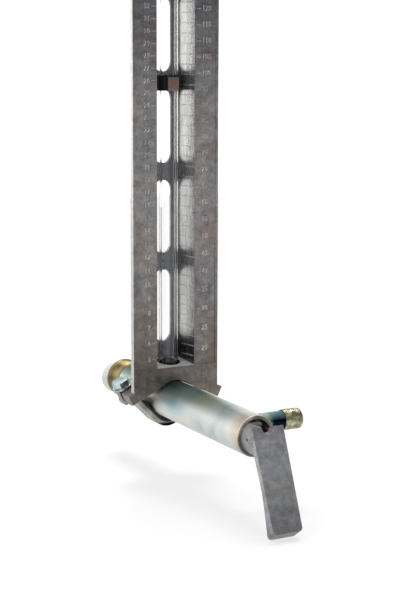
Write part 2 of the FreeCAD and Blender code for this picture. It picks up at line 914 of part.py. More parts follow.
def make_clamp_strap():
    body = new_body("clamp_strap")
    outer = "strapInner + strapThick"
    bent_strip(body, "strap", "strapInner", outer, "strapTopN", "strapLowN", "strapEnd")

    def low_bend(edge, centre, distance):
        return abs(centre.x) < 0.01 and near(centre.z, f"-({distance}) / cos(strapAngle)")

    round_edges(body, "inner_bend", "strapBend", lambda e, c: low_bend(e, c, "strapInner"))
    round_edges(body, "outer_bend", "strapBend + strapThick", lambda e, c: low_bend(e, c, outer))
    trim = new_sketch(body, "ear_trim", "XY_Plane", f"-({outer}) / cos(strapAngle)")
    for side in ("", "-"):
        inside, outside = side + "(1.7 * barrelR)", side + "(strapEnd + legThick)"
        rectangle(trim, inside, outside, "footBackY - earDepth - strapWide", "footBackY - earDepth")
        rectangle(trim, inside, outside, "footBackY", "footBackY + strapWide")
    pocket(body, trim, f"2 * ({outer})", reverse=True)
    for name, side in (("right", 1), ("left", -1)):
        x, z = leg_point(side, "boltReach", "strapLowN - 1")
        drill(
            body,
            "strap_hole_" + name,
            "boltShank / 2 + 0.02",
            "strapThick + 2",
            x=x,
            y="earMidY",
            z=z,
            axis=Y_AXIS,
            angle=f"{side} * saddleAngle",
        )
    return body


def make_strap_liner():
    body = new_body("strap_liner")
    inner = "barrelR + fitGap"
    outer = "strapInner - fitGap"
    sketch = new_sketch(body, "liner", "XZ_Plane", "-(earMidY - strapWide / 2 - linerThick)")

    def on_leg(distance, height):
        x = f"(({distance}) / cos(strapAngle) + ({height})) / tan(strapAngle)"
        return x, height

    top = "0"
    out_x, out_z = on_leg(outer, top)
    in_x, in_z = on_leg(inner, top)
    polygon(
        sketch,
        [
            ("0", f"-({outer}) / cos(strapAngle)"),
            (out_x, out_z),
            (in_x, in_z),
            ("0", f"-({inner}) / cos(strapAngle)"),
            (f"-({in_x})", in_z),
            (f"-({out_x})", out_z),
        ],
    )
    pad(body, sketch, "strapWide + 2 * linerThick", reverse=True)

    def low_bend(edge, centre, distance):
        return abs(centre.x) < 0.01 and near(centre.z, f"-({distance}) / cos(strapAngle)")

    round_edges(body, "liner_inner_bend", "strapBend - linerThick", lambda e, c: low_bend(e, c, inner))
    round_edges(body, "liner_outer_bend", "strapBend", lambda e, c: low_bend(e, c, outer))
    return body


def make_clamp_bolt(name, side):
    slope = f"{side} * saddleAngle"
    x, z = leg_point(side, "boltReach", "boltSeatN")
    head = doc.addObject("Part::Prism", "head_" + name)
    head.Polygon = 6
    bind(head, Circumradius="boltHead / 2 / cos(30)", Height="boltHeadHigh")
    place(head, x=x, y="earMidY", z=z, axis=Y_AXIS, angle=slope)
    x, z = leg_point(side, "boltReach", "boltSeatN - boltLength")
    shank = cylinder("shank_" + name, "boltShank / 2", "boltLength + 1", x=x, y="earMidY", z=z,
                     axis=Y_AXIS, angle=slope)
    return fuse("clamp_bolt_" + name, head, shank)


def make_clamp_washer(name, side):
    x, z = leg_point(side, "boltReach", "legTopN")
    return ring("clamp_washer_" + name, "washerOuter / 2", "(boltShank + boltPlay) / 2", "washerThick",
                x=x, y="earMidY", z=z, axis=Y_AXIS, angle=f"{side} * saddleAngle")


# Level marker


def make_marker_clip():
    """A clip that snaps on the tube from the front, with a wing on each side."""
    low = "markerHeight - pointerHigh / 2"
    front = "tubeY - tubeR - clipFront"
    nose = box("clip_nose", "clipNose", "tubeR / 2", "clipHigh", x="-clipNose / 2", y=front, z=low)
    sleeve = cylinder("clip_sleeve", "tubeR + clipFront - fitGap", "clipHigh", y="tubeY", z=low)
    rear = "tubeY - clipWing"
    wings = box("clip_wings", "clipWide", "clipDeep", "clipHigh", x="-clipWide / 2", y=rear, z=low)
    blank = fuse("clip_blank", nose, sleeve, wings)
    hole = cylinder("clip_hole", "tubeR + markerPlay", "clipHigh", y="tubeY", z=low)
    mouth = box("clip_mouth", "clipMouth", "clipDeep", "clipHigh", x="-clipMouth / 2", y="tubeY", z=low)
    hollow = fuse("clip_hollow", hole, mouth)
    return cut("marker_clip", blank, hollow)


def make_marker_pointer():
    thing = box(
        "marker_pointer",
        "pointerWide",
        "pointerThick",
        "pointerHigh",
        x="-pointerWide / 2",
        y="tubeY - tubeR - clipFront - pointerThick",
        z="markerHeight - pointerHigh / 2",
    )
    thing.Label = "marker_pointer"
    return thing


PARTS = [
    make_gauge_body(),
    make_barrel(),
    make_outlet_nipple(),
    make_inlet_bush(),
    make_valve_lever(),
    make_core_seal("core_seal_front", "frontRing"),
    make_core_seal("core_seal_rear", "rearRing"),
    make_core_pin(),
    make_sight_tube(),
    make_foot_seal(),
    make_head_seal(),
    make_tube_cap(),
    make_port_seal(),
    make_clamp_strap(),
    make_strap_liner(),
    make_clamp_bolt("left", -1),
    make_clamp_bolt("right", 1),
    make_clamp_washer("left", -1),
    make_clamp_washer("right", 1),
    make_marker_clip(),
    make_marker_pointer(),
]

doc.recompute()
for thing in doc.Objects:
    if "Invalid" in thing.State or "Error" in thing.State:
        raise RuntimeError(f"{thing.Name} failed: {thing.State}")
for part in PARTS:
    if part.Shape.isNull() or not part.Shape.isValid():
        raise RuntimeError(part.Label + " has no valid shape")

os.makedirs("parts", exist_ok=True)
for part in PARTS:
    part.Shape.exportStep(f"parts/{part.Label}.step")
    print(part.Label, len(part.Shape.Solids), round(part.Shape.Volume))
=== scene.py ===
"""Looks of the drum level gauge: its finishes and rounded edges, the raised scales, threads, weld bead and
nozzle, and the floor, light and camera.

Metres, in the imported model's frame: +Y into the drum, +Z up the sight tube.
"""
import math

import bmesh
import bpy
import numpy as np
from mathutils import Matrix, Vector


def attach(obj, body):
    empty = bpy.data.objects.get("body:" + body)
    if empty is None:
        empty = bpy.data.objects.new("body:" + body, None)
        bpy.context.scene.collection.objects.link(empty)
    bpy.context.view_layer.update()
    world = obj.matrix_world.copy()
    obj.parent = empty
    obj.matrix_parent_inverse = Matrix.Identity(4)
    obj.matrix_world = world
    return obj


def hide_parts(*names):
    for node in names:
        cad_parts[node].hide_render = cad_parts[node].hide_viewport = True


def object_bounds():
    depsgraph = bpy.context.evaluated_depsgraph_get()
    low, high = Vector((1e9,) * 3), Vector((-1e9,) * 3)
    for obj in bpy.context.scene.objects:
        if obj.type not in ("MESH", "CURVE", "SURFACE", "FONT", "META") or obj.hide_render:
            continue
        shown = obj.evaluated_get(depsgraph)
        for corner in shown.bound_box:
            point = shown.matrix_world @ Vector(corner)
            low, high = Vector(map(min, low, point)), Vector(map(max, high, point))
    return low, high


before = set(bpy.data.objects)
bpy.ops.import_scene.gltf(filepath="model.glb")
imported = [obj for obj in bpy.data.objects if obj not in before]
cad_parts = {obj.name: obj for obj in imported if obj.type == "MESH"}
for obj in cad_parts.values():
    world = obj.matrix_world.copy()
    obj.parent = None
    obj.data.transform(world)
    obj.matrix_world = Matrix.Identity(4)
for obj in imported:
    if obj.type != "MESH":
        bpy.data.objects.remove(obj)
cad_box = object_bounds()
MM = 0.001
TAU = 2 * math.pi

# Places on the part, in metres, the same as the sizes of its solids
FACE_Y = -0.083
PANEL_Y = -0.0826
BARREL_R = 13.335 * MM
DRUM_THREAD_R = 13.2 * MM
OUTLET_Y = -0.162
OUTLET_THREAD_R = 6.6 * MM
OUTLET_END = 48.5 * MM


# Pieces and their meshes


def put_in_scene(name, data):
    """A new object at the origin, in the scene's collection."""
    made = bpy.data.objects.new(name, data)
    bpy.context.collection.objects.link(made)
    return made


def add_piece(name, mesh, finish, body, stands_for=(), sharp=35):
    """Puts a mesh in the scene with its finish, riding on a body. Edges over sharp degrees stay sharp."""
    piece = put_in_scene(name, mesh)
    mesh.materials.append(finish)
    mesh.shade_smooth()
    mesh.set_sharp_from_angle(angle=math.radians(sharp))
    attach(piece, body)
    if stands_for:
        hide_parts(*stands_for)
    return piece


def make_mesh(name, vertices, faces):
    """A mesh from an array of points of any shape and a list of faces."""
    mesh = bpy.data.meshes.new(name)
    mesh.from_pydata(np.reshape(vertices, (-1, 3)).tolist(), [], faces)
    mesh.validate()
    mesh.update()
    return mesh


def full_turn(count):
    """Equally spaced angles round a full turn, from 0."""
    return np.arange(count) / count * TAU


def ring_quads(rows, columns):
    """Corner numbers of the quads between each ring of points and the next, each ring closed on itself."""
    row = np.arange(rows - 1)[:, None]
    column = np.arange(columns)[None, :]
    ahead = (column + 1) % columns
    corners = [row * columns + column, row * columns + ahead]
    corners += [(row + 1) * columns + ahead, (row + 1) * columns + column]
    return np.stack(np.broadcast_arrays(*corners), -1).reshape(-1, 4)


def ring_skin(name, rings):
    """A closed skin through rings of points, the last ring being the first again.

    Its doubles are merged, and then its faces are turned outwards.
    """
    mesh = make_mesh(name, rings, ring_quads(*rings.shape[:2]).tolist())
    shape = bmesh.new()
    shape.from_mesh(mesh)
    bmesh.ops.remove_doubles(shape, verts=shape.verts, dist=1e-7)
    bmesh.ops.recalc_face_normals(shape, faces=shape.faces)
    shape.to_mesh(mesh)
    shape.free()
    return mesh


def softened(source, name, width, finish, body, rubbed=None, segments=2):
    """A copy of a CAD node with its edges rounded, as casting, moulding or deburring leaves them.

    Triangles that lie within 0.6 degrees of each other are joined first, and edges over 32 degrees are
    rounded. Rubbed is the rounded edges' own finish, worn paler and also painted paler as a highlight.
    """
    one_corner, one_flat, an_edge = 0.002 * MM, math.radians(0.6), math.radians(32)
    shape = bmesh.new()
    shape.from_mesh(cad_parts[source].data)
    bmesh.ops.remove_doubles(shape, verts=shape.verts, dist=one_corner)
    bmesh.ops.dissolve_limit(shape, angle_limit=one_flat, verts=shape.verts, edges=shape.edges)
    bmesh.ops.connect_verts_concave(shape, faces=shape.faces)
    mesh = bpy.data.meshes.new(name)
    shape.to_mesh(mesh)
    shape.free()
    piece = add_piece(name, mesh, finish, body, [source])
    bevel = piece.modifiers.new("rounded edges", "BEVEL")
    bevel.width = width
    bevel.segments = segments
    bevel.limit_method = "ANGLE"
    bevel.angle_limit = an_edge
    bevel.miter_outer = "MITER_ARC"
    if rubbed:
        mesh.materials.append(rubbed)
        bevel.material = len(mesh.materials) - 1
    evener = piece.modifiers.new("even shading", "WEIGHTED_NORMAL")
    evener.keep_sharp = True
    return piece


# Finishes

# nearly all of a noise pattern's values lie between these
LOW, HIGH = 0.3, 0.7


def rgb(code):
    """An sRGB hex colour as a linear one."""
    parts = np.array([int(code[k : k + 2], 16) for k in (1, 3, 5)]) / 255
    linear = np.where(parts <= 0.04045, parts / 12.92, ((parts + 0.055) / 1.055) ** 2.4)
    return (*linear.tolist(), 1.0)


def node(tree, kind, settings=(), links=()):
    """Adds a node with its settings and its links. A setting is an attribute, a socket or a ramp's stops."""
    made = tree.nodes.new("ShaderNode" + kind)
    for name, value in dict(settings).items():
        if name == "stops":
            stops = made.color_ramp.elements
            for number, (position, code) in enumerate(value):
                stop = stops[number] if number < 2 else stops.new(position)
                stop.position, stop.color = position, rgb(code)
        elif isinstance(name, str) and hasattr(made, name):
            setattr(made, name, value)
        else:
            made.inputs[name].default_value = value
    for socket, source in dict(links).items():
        tree.links.new(source, made.inputs[socket])
    return made


def start_finish(name, **shader):
    """A new material with its Principled shader's fixed values set, and its object coordinates."""
    finish = bpy.data.materials.new(name)
    finish.use_nodes = True
    tree = finish.node_tree
    surface = tree.nodes["Principled BSDF"]
    for socket, value in shader.items():
        surface.inputs[socket.replace("_", " ")].default_value = value
    place = node(tree, "TexCoord").outputs["Object"]
    return finish, tree, surface, place


def stain(finish, code, *spans, turned=0):
    """Multiplies a finish's colour by an sRGB colour over one place on the part, for real tints and for
    painted shade.

    Each span is an axis with the mm where the colour starts and where it is full, and the shares of several
    spans are multiplied. Turned is an angle about Y, and X and Z are then read at that angle.
    """
    tree = finish.node_tree
    colour = tree.nodes["Principled BSDF"].inputs["Base Color"]
    place = node(tree, "TexCoord").outputs["Object"]
    if turned:
        place = node(tree, "Mapping", {"Rotation": (0, turned, 0)}, {"Vector": place}).outputs["Vector"]
    parts = node(tree, "SeparateXYZ", (), {"Vector": place}).outputs
    most = {}
    for axis, start, full in spans:
        span = {"From Min": start * MM, "From Max": full * MM}
        share = node(tree, "MapRange", span, {"Value": parts[axis], **most}).outputs[0]
        most = {"To Max": share}
    settings = {"data_type": "RGBA", "blend_type": "MULTIPLY", 7: rgb(code)}
    mixed = node(tree, "Mix", settings, {0: share, 6: colour.links[0].from_socket})
    tree.links.new(mixed.outputs[2], colour)


def patches(finish, stops, size_mm):
    """Multiplies a finish's colour by wide soft patches, as handling and oil leave them."""
    tree = finish.node_tree
    colour = tree.nodes["Principled BSDF"].inputs["Base Color"]
    place = node(tree, "TexCoord").outputs["Object"]
    wide = {"Scale": 1000 / size_mm, "Detail": 4.0, "Roughness": 0.6}
    patch = node(tree, "TexNoise", wide, {"Vector": place})
    tint = node(tree, "ValToRGB", {"stops": stops}, {"Fac": patch.outputs["Fac"]})
    settings = {"data_type": "RGBA", "blend_type": "MULTIPLY", 0: 1.0}
    mixed = node(tree, "Mix", settings, {6: colour.links[0].from_socket, 7: tint.outputs["Color"]})
    tree.links.new(mixed.outputs[2], colour)


def cast_aluminium(name, tones, grain_mm, pit_mm, shine, drawn=1):
    """Die-cast aluminium, tumbled in stones: a grey skin with soft blotches, fine pits and rubbed high spots.

    The real pits are under half a mm, too fine for the render to show, so they are drawn at 1 mm or more.
    Drawn stretches blotches and grain along Z, like the tool marks that run the length of the die.
    """
    blotch_mm = 4.5
    finish, tree, surface, place = start_finish(name, Metallic=0.85)
    if drawn > 1:
        place = node(tree, "Mapping", {"Scale": (1, 1, 1 / drawn)}, {"Vector": place}).outputs["Vector"]
    spots = {"Scale": 1000 / blotch_mm, "Detail": 7.0, "Roughness": 0.72}
    blotch = node(tree, "TexNoise", spots, {"Vector": place})
    stops = list(zip((LOW, 0.5, HIGH), tones))
    skin = node(tree, "ValToRGB", {"stops": stops}, {"Fac": blotch.outputs["Fac"]})
    tree.links.new(skin.outputs["Color"], surface.inputs["Base Color"])
    grain = node(tree, "TexNoise", {"Scale": 1000 / grain_mm, "Detail": 3.0}, {"Vector": place})
    polish = {"From Min": LOW, "From Max": HIGH, "To Min": shine[0], "To Max": shine[1]}
    rubbed = node(tree, "MapRange", polish, {"Value": grain.outputs["Fac"]})
    tree.links.new(rubbed.outputs[0], surface.inputs["Roughness"])
    lie = node(tree, "Bump", {"Distance": pit_mm * MM, "Strength": 0.5}, {"Height": blotch.outputs["Fac"]})
    pits = {"Height": grain.outputs["Fac"], "Normal": lie.outputs["Normal"]}
    dents = node(tree, "Bump", {"Distance": pit_mm * MM, "Strength": 0.6}, pits)
    tree.links.new(dents.outputs["Normal"], surface.inputs["Normal"])
    return finish


def zinc_plated(name, tones, film_mm, shine):
    """Zinc-plated steel, satin from pickling, under a thin passivation film that drifts in tint.

    The real satin is as fine as 0.1 mm, and its unevenness is drawn at 2.5 mm so that it shows.
    """
    wipe_mm, ripple_mm = 2.5, 0.04
    finish, tree, surface, place = start_finish(name, Metallic=1.0)
    film = node(tree, "TexNoise", {"Scale": 1000 / film_mm, "Detail": 3.0}, {"Vector": place})
    tint = node(tree, "ValToRGB", {"stops": tones}, {"Fac": film.outputs["Fac"]})
    tree.links.new(tint.outputs["Color"], surface.inputs["Base Color"])
    wipe = node(tree, "TexNoise", {"Scale": 1000 / wipe_mm, "Detail": 3.0}, {"Vector": place})
    polish = {"From Min": LOW, "From Max": HIGH, "To Min": shine[0], "To Max": shine[1]}
    satin = node(tree, "MapRange", polish, {"Value": wipe.outputs["Fac"]})
    tree.links.new(satin.outputs[0], surface.inputs["Roughness"])
    skin = node(tree, "Bump", {"Distance": ripple_mm * MM, "Strength": 0.4}, {"Height": wipe.outputs["Fac"]})
    tree.links.new(skin.outputs["Normal"], surface.inputs["Normal"])
    return finish


def moulded(name, dark, light, roughness, grain_mm):
    """A moulded plastic or rubber with the fine grain of its mould, and cloudy patches in its colour.

    The real grain is about 0.2 mm, and is drawn at 0.5 mm or more so that it shows.
    """
    cloud_mm, grain_depth_mm = 6, 0.03
    finish, tree, surface, place = start_finish(name, Roughness=roughness, IOR=1.5)
    patch = node(tree, "TexNoise", {"Scale": 1000 / cloud_mm, "Detail": 2.0}, {"Vector": place})
    stops = [(LOW, dark), (HIGH, light)]
    colour = node(tree, "ValToRGB", {"stops": stops}, {"Fac": patch.outputs["Fac"]})
    tree.links.new(colour.outputs["Color"], surface.inputs["Base Color"])
    grain = node(tree, "TexNoise", {"Scale": 1000 / grain_mm, "Detail": 2.0}, {"Vector": place})
    depth = {"Distance": grain_depth_mm * MM, "Strength": 0.5}
    skin = node(tree, "Bump", depth, {"Height": grain.outputs["Fac"]})
    tree.links.new(skin.outputs["Normal"], surface.inputs["Normal"])
    return finish


def clear_tube():
    """Extruded acrylic: clear and smooth, with faint hazy lines along it from the die, about 1 mm apart.

    Its index is under acrylic's 1.49, so the wall bends what is behind it as little as in the photograph.
    """
    line_mm, lines_length = 1.0, 60
    finish, tree, surface, place = start_finish(
        "extruded_clear_acrylic", Transmission_Weight=1.0, Roughness=0.0, IOR=1.27
    )
    drawn = node(tree, "Mapping", {"Scale": (1, 1, 1 / lines_length)}, {"Vector": place})
    fine = {"Scale": 1000 / line_mm, "Detail": 1.0}
    line = node(tree, "TexNoise", fine, {"Vector": drawn.outputs["Vector"]})
    stops = [(0.4, "#fbfcfd"), (0.6, "#ffffff")]
    haze = node(tree, "ValToRGB", {"stops": stops}, {"Fac": line.outputs["Fac"]})
    tree.links.new(haze.outputs["Color"], surface.inputs["Base Color"])
    return finish


# die-cast and tumbled: the flat skin is dull and dark
CAST_BODY = cast_aluminium(
    "tumbled_cast_aluminium", ("#7b7a7c", "#999695", "#b5b2af"), grain_mm=1.1, pit_mm=0.2, shine=(0.28, 0.5)
)
# it is browner and darker towards the foot, painted darker and cooler high up as shade, and oil leaves wide
# brown and blue patches
stain(CAST_BODY, "#ccc3bb", ("Z", 130, 12))
stain(CAST_BODY, "#cfd0d8", ("Z", 195, 265))
patches(CAST_BODY, [(0.38, "#efe5df"), (0.5, "#ffffff"), (0.62, "#ebeef5")], size_mm=26)
# the channel's back is painted darker and cooler, as the shade deep in the channel
CAST_DEEP = cast_aluminium(
    "painted_shade_channel_back_aluminium", ("#5c5e63", "#707277", "#84868b"), grain_mm=1.1, pit_mm=0.15, shine=(0.3, 0.5)
)
# the stones rub the casting's edges pale and smooth, and they are painted paler still as a highlight
CAST_RUBBED_AND_HIGHLIT = cast_aluminium(
    "rubbed_and_highlit_cast_aluminium", ("#b5b2ad", "#c6c3be", "#d6d3cf"), grain_mm=1.0, pit_mm=0.04, shine=(0.28, 0.4)
)
# raised lines and digits are rubbed a little, and are painted paler than the skin as a highlight on them
CAST_SCALE = cast_aluminium(
    "raised_cast_aluminium", ("#949290", "#a9a7a4", "#c0bdba"), grain_mm=1.0, pit_mm=0.06, shine=(0.24, 0.4)
)
# the channel's ribs are painted bright as a highlight, and its floor is matt and painted pale as light
# through the slots
PAINTED_LIGHT_TONES = ("#dcdad6", "#e8e6e2", "#f2f0ec")
CAST_RIB_HIGHLIGHT = cast_aluminium("highlit_rib_aluminium", PAINTED_LIGHT_TONES, grain_mm=1.0, pit_mm=0.03, shine=(0.2, 0.3))
CAST_LIT_FLOOR = cast_aluminium("painted_light_channel_floor_aluminium", PAINTED_LIGHT_TONES, grain_mm=1.0, pit_mm=0.03, shine=(0.65, 0.8))
# the channel's draft faces and the trimmed sides of the flanges keep the die's brighter skin, and are painted
# paler still as the light they catch
BRIGHT_TONES = ("#a5a4a2", "#bdbcba", "#d2d1cf")
CAST_FLANK = cast_aluminium(
    "bright_cast_aluminium", BRIGHT_TONES, grain_mm=1.6, pit_mm=0.05, shine=(0.18, 0.3)
)
CAST_WALL = cast_aluminium(
    "drawn_cast_aluminium", BRIGHT_TONES, grain_mm=1.6, pit_mm=0.05, shine=(0.18, 0.3), drawn=5
)
# the channel's walls are painted darker towards their foot, below the lowest slot, as shade
stain(CAST_WALL, "#74747a", ("Z", 48, 36))
# the lever is cast in a cooler alloy and coarser, is painted darker towards its toe and on the core behind it
# as shade, and its edges are rubbed and painted paler as a highlight
CAST_LEVER = cast_aluminium(
    "cast_lever_aluminium", ("#8d8e92", "#adaeb1", "#c5c6c9"), grain_mm=1.8, pit_mm=0.12, shine=(0.34, 0.5)
)
stain(CAST_LEVER, "#cfd0d4", ("Z", -15, -48))
stain(CAST_LEVER, "#dddcde", ("Y", -209, -206))
patches(CAST_LEVER, [(0.4, "#f3efe9"), (0.5, "#ffffff"), (0.64, "#e6e8eb")], size_mm=16)
LEVER_EDGE = cast_aluminium(
    "rubbed_and_highlit_lever_aluminium", ("#bcbdc0", "#cccdd0", "#dadbde"), grain_mm=1.8, pit_mm=0.05, shine=(0.3, 0.42)
)
# zinc plate under a clear film: pale, drifting between straw and blue
PLATED = zinc_plated(
    "clear_zinc_plated_steel",
    [(0.3, "#dccfb8"), (0.45, "#d9dad3"), (0.6, "#ccd3d3"), (0.72, "#b3c2c1")],
    film_mm=24, shine=(0.44, 0.54),
)
# pinker at the mouth; painted darker and greener as shade along the top and near the casting; blue beside the
# casting half way up; and painted dark as shade on the lip but for its upper left
stain(PLATED, "#f4e4d8", ("Y", -180, -190))
stain(PLATED, "#a3b8b0", ("Z", 5, 12), ("Y", -190, -120))
stain(PLATED, "#9fb2ab", ("Z", 6, 12), ("Y", -108, -84))
stain(PLATED, "#bfe0ec", ("Y", -84, -100), ("Y", -124, -106), ("Z", 11, 5), ("Z", -5, 3))
stain(PLATED, "#a3aca6", ("X", -11, -9), ("Y", -190.5, -190.9), turned=-TAU / 8)
# yellow passivated threads: straw to olive, darker where the film is thick, and the outlet's are paler
THREADED = zinc_plated(
    "yellow_zinc_plated_thread", [(0.3, "#4c4530"), (0.5, "#84754c"), (0.7, "#a89d7a")],
    film_mm=9, shine=(0.3, 0.42),
)
OUTLET_THREADED = zinc_plated(
    "olive_zinc_plated_thread", [(0.35, "#6f6d52"), (0.55, "#a3a082"), (0.7, "#d2ceb6")],
    film_mm=3, shine=(0.28, 0.4),
)
# the nipple is pale at its weld and heat-blued next to its thread, and there its underside is painted dark
# navy as shade
BLUED = zinc_plated(
    "blued_zinc_plated_pipe", [(0.35, "#99a8a1"), (0.65, "#c8cfc3")], film_mm=6, shine=(0.18, 0.28)
)
stain(BLUED, "#a2c8de", ("X", 22, 26.5))
stain(BLUED, "#1c2a3e", ("X", 22, 26.5), ("Z", 4.5, 2))
# bolts, washers and the pin are bright zinc with a blue cast
BLUE_ZINC = zinc_plated(
    "blue_zinc_plated_bolt", [(0.35, "#8fa5ab"), (0.65, "#c9d8da")], film_mm=5, shine=(0.28, 0.4)
)
# the weld was made before plating, and kept a straw tint
WELD = zinc_plated("zinc_plated_weld", [(0.35, "#8a7f5e"), (0.65, "#cfc6a0")], film_mm=2, shine=(0.35, 0.5))
# the strap is duller sheet, and its low end is painted near black as shadow
SHEET_STEEL = zinc_plated(
    "zinc_plated_sheet_steel", [(0.35, "#8b8882"), (0.65, "#b7b4ac")], film_mm=7, shine=(0.4, 0.52)
)
stain(SHEET_STEEL, "#1c1b1a", ("Z", -17, -18.5))
# rubber is nearly black, acetal blacker and duller still, and the pointer is dull brown nylon
BLACK_RUBBER = moulded("black_nitrile_rubber", "#0c0c0d", "#161617", roughness=0.62, grain_mm=0.6)
BLACK_PLASTIC = moulded("black_acetal", "#040404", "#08080a", roughness=0.75, grain_mm=0.5)
BROWN_PLASTIC = moulded("brown_nylon", "#5e4841", "#755b52", roughness=0.5, grain_mm=0.7)
# polyethylene is milky white with a waxy gloss
WHITE_PLASTIC = moulded("white_polyethylene", "#afafab", "#bdbdb9", roughness=0.45, grain_mm=1.2)
# acrylic shows the channel behind it, between the bright lines of its edges
CLEAR_TUBE = clear_tube()

NODE_FINISHES = {
    "barrel": PLATED,
    "outlet_nipple": BLUED,
    "core_pin": BLUE_ZINC,
    "core_seal_front": BLACK_RUBBER,
    "core_seal_rear": BLACK_RUBBER,
    "sight_tube": CLEAR_TUBE,
    "tube_foot_seal": BLACK_RUBBER,
    "tube_head_seal": BLACK_RUBBER,
    "tube_cap": BLACK_PLASTIC,
    "port_seal": BLACK_RUBBER,
}
for name, finish in NODE_FINISHES.items():
    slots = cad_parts[name].data.materials
    slots.clear()
    slots.append(finish)


# Castings, clamp and marker: the CAD shapes with their edges rounded

casting = softened("gauge_body", "gauge_casting", 0.45 * MM, CAST_BODY, "gauge", CAST_RUBBED_AND_HIGHLIT)
softened("valve_lever", "lever_casting", 0.8 * MM, CAST_LEVER, "valve", LEVER_EDGE, segments=3)
# the strap's rounded edges take the paler bolt zinc as a painted highlight
softened("clamp_strap", "strap_sheet", 0.35 * MM, SHEET_STEEL, "gauge", BLUE_ZINC)
softened("strap_liner", "liner_rubber", 0.25 * MM, BLACK_RUBBER, "gauge")
softened("clamp_bolt_left", "hex_bolt_left", 0.35 * MM, BLUE_ZINC, "gauge")
softened("clamp_bolt_right", "hex_bolt_right", 0.35 * MM, BLUE_ZINC, "gauge")
softened("clamp_washer_left", "washer_flat_left", 0.15 * MM, BLUE_ZINC, "gauge")
softened("clamp_washer_right", "washer_flat_right", 0.15 * MM, BLUE_ZINC, "gauge")
softened("marker_clip", "clip_moulding", 0.2 * MM, BLACK_PLASTIC, "marker")
softened("marker_pointer", "pointer_moulding", 0.15 * MM, BROWN_PLASTIC, "marker")


def finish_casting_faces(mesh):
    """Gives the channel's walls, floor and back, and the flanges' sides, their own finishes, with painted
    light and shade: paler walls, flanks and floor, and a darker back.

    Each is found by which way its faces point and where their middles lie: how far from the middle plane,
    how far behind the front face, and how high, in mm.
    """
    facing, middle = np.empty((2, len(mesh.polygons), 3))
    mesh.polygons.foreach_get("normal", facing.ravel())
    mesh.polygons.foreach_get("center", middle.ravel())
    sideways = np.abs(facing[:, 0]) > 0.9
    across = np.abs(middle[:, 0]) / MM
    behind = (middle[:, 1] - FACE_Y) / MM
    high = middle[:, 2] / MM
    channel_half, channel_deep, flange_side, foot_top = 14.5, 20, 31, 20
    narrow = across < channel_half
    channel = narrow & (behind < channel_deep - 0.1)
    finishes = {
        CAST_WALL: sideways & channel & (high > foot_top + 2),
        CAST_FLANK: sideways & (across > flange_side) & (high > foot_top),
        CAST_LIT_FLOOR: (facing[:, 2] > 0.7) & channel & (high < foot_top + 10),
        CAST_DEEP: (facing[:, 1] < -0.9) & narrow & (np.abs(behind - channel_deep) < 1),
    }
    first = len(mesh.materials)
    for finish in finishes:
        mesh.materials.append(finish)
    slot_numbers = list(range(first, first + len(finishes)))
    mesh.polygons.foreach_set("material_index", np.select(list(finishes.values()), slot_numbers, 0))


finish_casting_faces(casting.data)


# Raised scale on the casting


def drum_height(volumes):
    """Height on the scale for litres in a drum on its side: a circle's segment area times its length."""
    radius, length, below_axis = 286.0, 836.2, 51.6
    depth = np.linspace(0, 2 * radius, 4000)
    chord = np.sqrt(np.maximum(2 * radius * depth - depth**2, 0))
    area = radius**2 * np.arccos((radius - depth) / radius) - (radius - depth) * chord
    return (np.interp(volumes, area * length / 1e6, depth) - below_axis) * MM


def ridges(name, starts, ends, out, width, height, finish):
    """Raised lines: half-ellipse ridges from starts to ends, on a face whose outward normal is out.

    Round the section, angle a gives width / 2 * cos a across and height * sin a outwards, and the lower
    half is sunk in the face by 0.3 of that. Along the line the section shrinks at both ends.
    """
    sunk = 0.3
    starts, ends, out = (np.asarray(v, float) for v in (starts, ends, out))
    along = ends - starts
    length = np.linalg.norm(along, axis=1, keepdims=True)
    across = np.cross(along / length, out)
    turn = full_turn(10)
    side = np.cos(turn) * width / 2
    lift = np.where(np.sin(turn) >= 0, np.sin(turn) * height, np.sin(turn) * height * sunk)
    station = np.array([0.0, 0.08, 0.92, 1.0])
    swell = np.array([0.55, 1.0, 1.0, 0.55])
    ring = across[:, None, None, :] * side[None, None, :, None] + out * lift[None, None, :, None]
    line = starts[:, None, :] + along[:, None, :] * station[None, :, None]
    points = line[:, :, None, :] + ring * swell[None, :, None, None]
    count, rows, columns = points.shape[:3]
    offsets = np.arange(count)[:, None, None] * rows * columns
    end_ring = np.arange(columns)
    caps = np.stack([end_ring[::-1], end_ring + (rows - 1) * columns])
    faces = (ring_quads(rows, columns) + offsets).reshape(-1, 4).tolist()
    faces += (caps + offsets).reshape(-1, columns).tolist()
    add_piece(name, make_mesh(name, points, faces), finish, "gauge")


def scale_lines(name, left, right, heights):
    """Lines across a scale's panel, from x = left to x = right, one at each height."""
    starts, ends = (
        np.stack([np.full(len(heights), x), np.full(len(heights), PANEL_Y), heights], -1)
        for x in (left, right)
    )
    ridges(name, starts, ends, (0, -1, 0), width=0.8 * MM, height=0.4 * MM, finish=CAST_SCALE)


def digit_shapes():
    """Each digit as (vertices, faces) of a raised letter 1 high, up to 0.62 wide, from the built-in font."""
    shapes = {}
    for digit in "0123456789":
        curve = bpy.data.curves.new("digit", "FONT")
        curve.body = digit
        curve.extrude = 0.08
        curve.offset = 0.02
        curve.bevel_depth = 0.03
        curve.bevel_resolution = 0
        curve.resolution_u = 2
        carrier = put_in_scene("digit", curve)
        mesh = bpy.data.meshes.new_from_object(carrier)
        vertices = np.empty((len(mesh.vertices), 3))
        mesh.vertices.foreach_get("co", vertices.ravel())
        low, high = vertices.min(0), vertices.max(0)
        vertices = (vertices - [(low[0] + high[0]) / 2, low[1], 0]) / (high[1] - low[1])
        vertices[:, 0] *= min(1.0, 0.62 / np.ptp(vertices[:, 0]))
        shapes[digit] = vertices, [list(p.vertices) for p in mesh.polygons]
        bpy.data.objects.remove(carrier)
    return shapes


DIGITS = digit_shapes()
DIGIT_PITCH = 2.3 * MM


